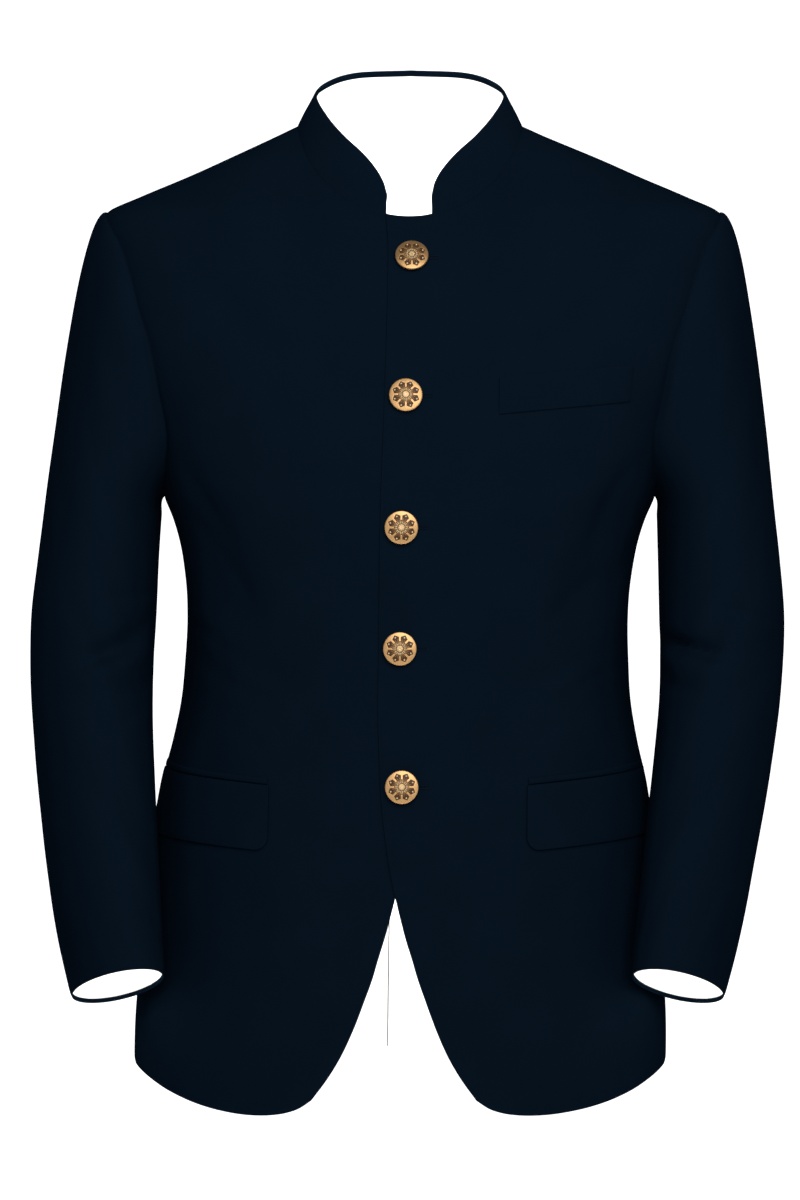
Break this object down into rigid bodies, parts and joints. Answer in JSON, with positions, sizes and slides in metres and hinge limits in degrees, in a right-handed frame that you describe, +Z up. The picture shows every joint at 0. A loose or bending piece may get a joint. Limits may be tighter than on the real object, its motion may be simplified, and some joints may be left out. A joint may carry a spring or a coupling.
{
  "type": "bandhgala jacket",
  "caption": "Hollow worn form of a dark navy closed-collar jacket with gilt buttons, flap pockets, a breast welt, curved front hem and white back lining.",
  "frame": {"origin": "on the middle plane, level with the shoulder seams just outside the collar, between the wearer's shoulders", "axes": "+Z up, +X to the wearer's left, +Y to the wearer's back"},
  "size_m": [0.5637, 0.2673, 0.7788],
  "materials": {
    "navy_suiting": "matte wool suiting, near black navy",
    "white_lining": "smooth white lining with a soft sheen",
    "gilt_brass": "gilt, softly domed, with a brown enamel rosette"
  },
  "bodies": {
    "root": {"front_left": "navy_suiting", "front_right": "navy_suiting", "back_left": "navy_suiting", "back_right": "navy_suiting", "back_lining_left": "white_lining", "back_lining_right": "white_lining", "top_sleeve_left": "navy_suiting", "top_sleeve_right": "navy_suiting", "under_sleeve_left": "navy_suiting", "under_sleeve_right": "navy_suiting", "collar": "navy_suiting", "collar_lining": "white_lining", "pocket_flap_left": "navy_suiting", "pocket_flap_right": "navy_suiting", "pocket_jet_left": "navy_suiting", "pocket_jet_right": "navy_suiting", "breast_welt": "navy_suiting", "button_1": "gilt_brass", "button_2": "gilt_brass", "button_3": "gilt_brass", "button_4": "gilt_brass", "button_5": "gilt_brass"}
  },
  "joints": []
}
